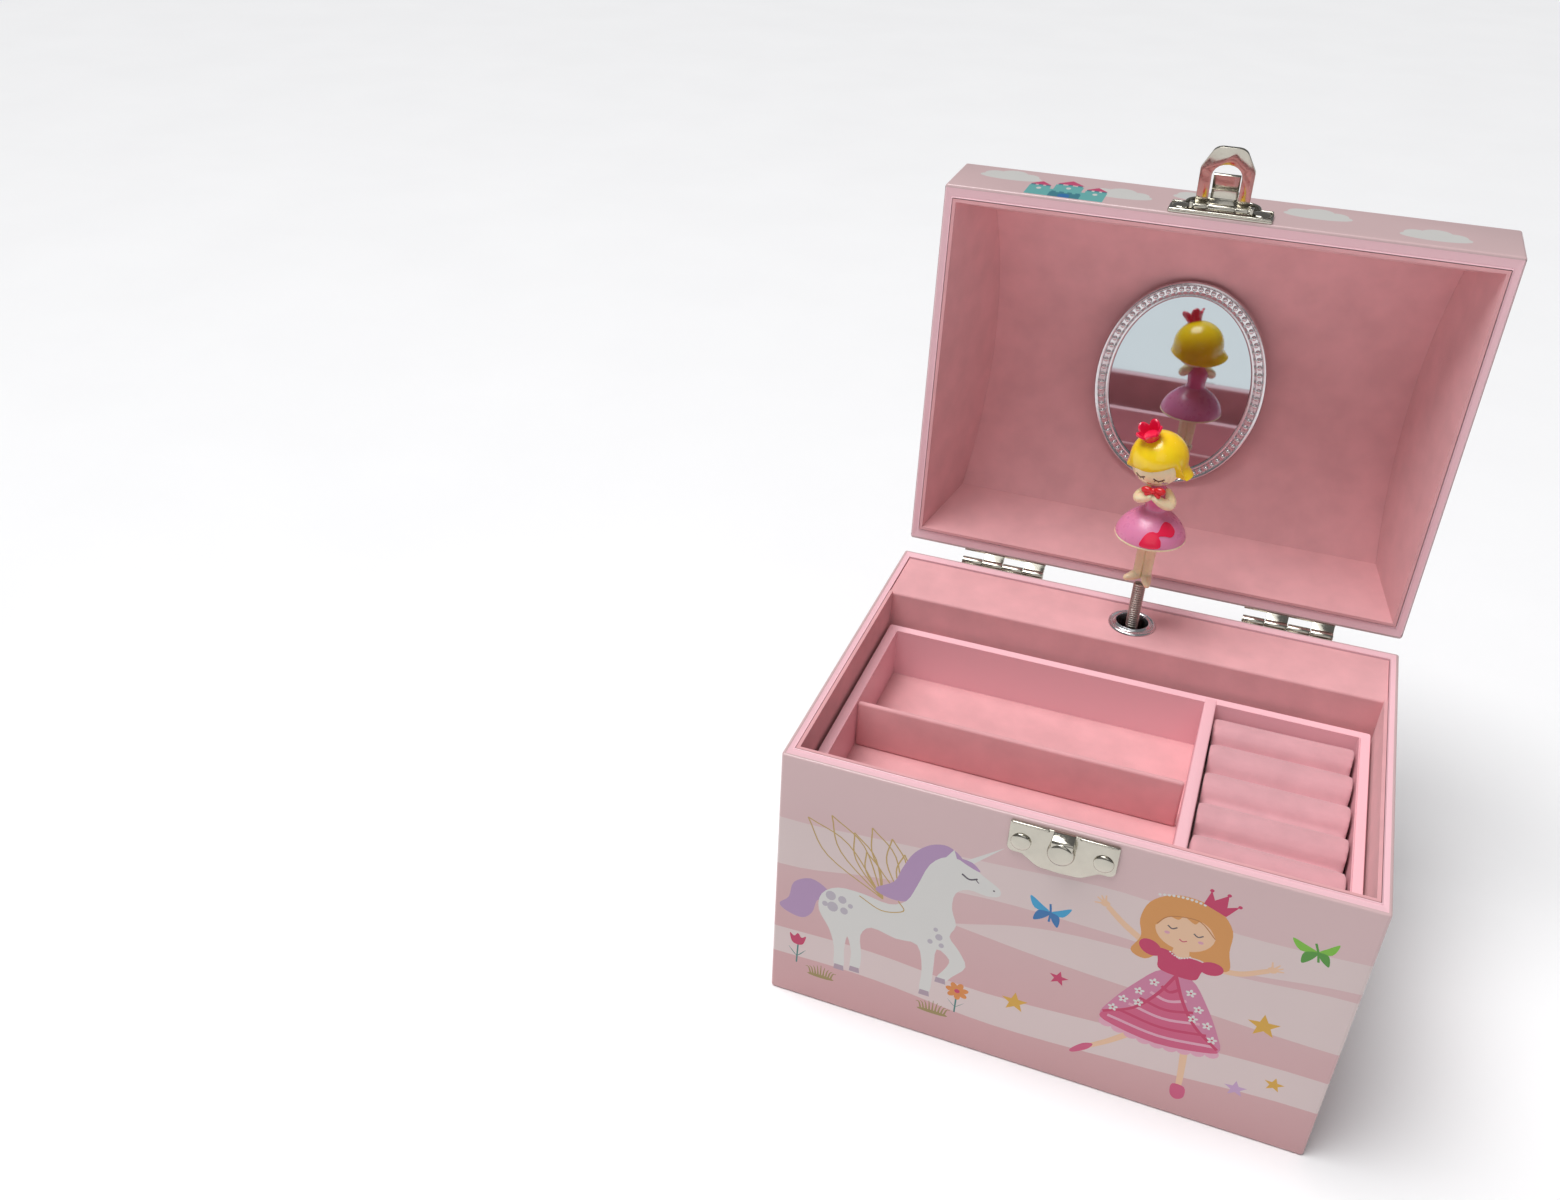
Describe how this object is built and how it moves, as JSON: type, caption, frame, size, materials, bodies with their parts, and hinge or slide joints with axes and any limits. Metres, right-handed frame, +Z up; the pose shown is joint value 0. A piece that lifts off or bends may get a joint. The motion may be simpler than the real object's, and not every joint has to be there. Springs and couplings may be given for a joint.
{
  "type": "musical jewellery box",
  "caption": "Hinged jewellery box with domed lid, oval mirror, lift-out tray, ring rolls and a small dancing figure turned by a wind-up music movement.",
  "frame": {"origin": "middle of the box's flat underside", "axes": "+Z up, -Y towards the front and the latch, +X to the right seen from the front; the lid is modelled open"},
  "size_m": [0.16, 0.2094, 0.2398],
  "materials": {
    "papered_board": "fibreboard wrapped in glossy printed pink paper",
    "lining_card": "card covered in matte suede-like pink paper",
    "tray_board": "board covered in matte pink paper",
    "ring_foam": "foam rolls under pink suede fabric",
    "bright_metal": "bright nickel plate",
    "steel": "plain steel",
    "brass": "plain brass",
    "fan_plastic": "moulded",
    "mirror": "silvered glass",
    "mirror_trim": "metallised silver",
    "pearl": "pearlescent lacquer",
    "figure_cream": "moulded, skin tone",
    "figure_pink": "moulded, orchid pink",
    "figure_yellow": "moulded, golden yellow",
    "figure_red": "moulded, crimson"
  },
  "bodies": {
    "box": {"body_front_wall": "papered_board", "body_back_wall": "papered_board", "body_side_walls": "papered_board", "body_floor": "papered_board", "liner_front": "lining_card", "liner_sides": "lining_card", "tray_ledges": "lining_card", "platform_top": "lining_card", "platform_front": "lining_card", "grommet": "bright_metal", "latch_lower_plate": "bright_metal", "body_screws": "bright_metal", "hinge_body_leaves": "bright_metal", "hinge_pins": "steel", "movement_plate": "steel", "bearing_brackets": "steel", "music_comb": "steel", "movement_screws": "steel"},
    "winding": {"winding_key": "bright_metal", "winding_arbor": "steel"},
    "barrel": {"spring_barrel": "brass", "mainspring": "steel"},
    "spindle": {"spindle_shaft": "steel", "spindle_pinion": "brass"},
    "cylinder": {"music_cylinder": "brass", "cylinder_wheels": "brass"},
    "governor": {"governor_pinion": "steel", "governor_fan": "fan_plastic"},
    "tray": {"tray_end_walls": "tray_board", "tray_long_walls": "tray_board", "tray_mid_wall": "tray_board", "tray_divider": "tray_board", "tray_floor": "tray_board", "ring_rolls": "ring_foam"},
    "lid": {"lid_front_wall": "papered_board", "lid_back_wall": "papered_board", "lid_end_walls": "papered_board", "lid_dome": "papered_board", "lid_liner_long": "lining_card", "lid_liner_ends": "lining_card", "lid_ceiling": "lining_card", "mirror_glass": "mirror", "mirror_frame": "mirror_trim", "latch_upper_plate": "bright_metal", "latch_pin": "steel", "lid_screws": "bright_metal", "hinge_lid_leaves": "bright_metal", "handle_wire": "steel", "handle_pearls": "pearl", "handle_washers": "steel"},
    "flap": {"latch_flap": "bright_metal"},
    "tongue": {"latch_tongue": "bright_metal"},
    "spring": {"figure_spring": "steel"},
    "figure": {"figure_legs": "figure_cream", "figure_skirt": "figure_pink", "figure_bodice": "figure_cream", "figure_head": "figure_cream", "figure_hair": "figure_yellow", "figure_crown": "figure_red", "figure_bow": "figure_red"}
  },
  "joints": [
    {"name": "lid_hinge", "type": "hinge", "parent": "box", "child": "lid", "pos_m": [0, 0.0652, 0.0919], "axis": [-1, 0, 0], "range_deg": [-90, 0]},
    {"name": "latch_flap_hinge", "type": "hinge", "parent": "lid", "child": "flap", "pos_m": [0, 0.0698, 0.2206], "axis": [-1, 0, 0], "range_deg": [-68, 0]},
    {"name": "latch_tongue_hinge", "type": "hinge", "parent": "lid", "child": "tongue", "pos_m": [0, 0.0698, 0.2206], "axis": [-1, 0, 0], "range_deg": [-59, 0]},
    {"name": "tray_lift", "type": "slide", "parent": "box", "child": "tray", "axis": [0, 0, 1], "range_m": [0, 0.06]},
    {"name": "key_turn", "type": "hinge", "parent": "box", "child": "winding", "pos_m": [0, 0.06, 0.038], "axis": [0, 1, 0], "continuous": true},
    {"name": "barrel_spin", "type": "hinge", "parent": "box", "child": "barrel", "pos_m": [0, 0.04, 0.038], "axis": [0, 1, 0], "continuous": true},
    {"name": "spindle_spin", "type": "hinge", "parent": "box", "child": "spindle", "pos_m": [0, 0.0465, 0.05], "axis": [0, 0, 1], "continuous": true},
    {"name": "cylinder_spin", "type": "hinge", "parent": "box", "child": "cylinder", "pos_m": [0.012, 0.0465, 0.038], "axis": [1, 0, 0], "continuous": true},
    {"name": "governor_spin", "type": "hinge", "parent": "box", "child": "governor", "pos_m": [0.037, 0.0465, 0.0475], "axis": [1, 0, 0], "continuous": true},
    {"name": "figure_bend", "type": "hinge", "parent": "box", "child": "spring", "pos_m": [0, 0.0465, 0.0973], "axis": [-1, 0, 0], "range_deg": [-80, 0], "deforming": ["figure_spring"]},
    {"name": "figure_spin", "type": "hinge", "parent": "spring", "child": "figure", "pos_m": [0, 0.0465, 0.1089], "axis": [0, 0, 1], "continuous": true}
  ],
  "couplings": [
    {"joint": "spindle_spin", "follows": "barrel_spin", "ratio": 4},
    {"joint": "cylinder_spin", "follows": "barrel_spin", "ratio": 4},
    {"joint": "governor_spin", "follows": "barrel_spin", "ratio": -11.2},
    {"joint": "figure_spin", "follows": "barrel_spin", "ratio": 4},
    {"joint": "figure_bend", "follows": "lid_hinge", "ratio": 0.8888}
  ]
}
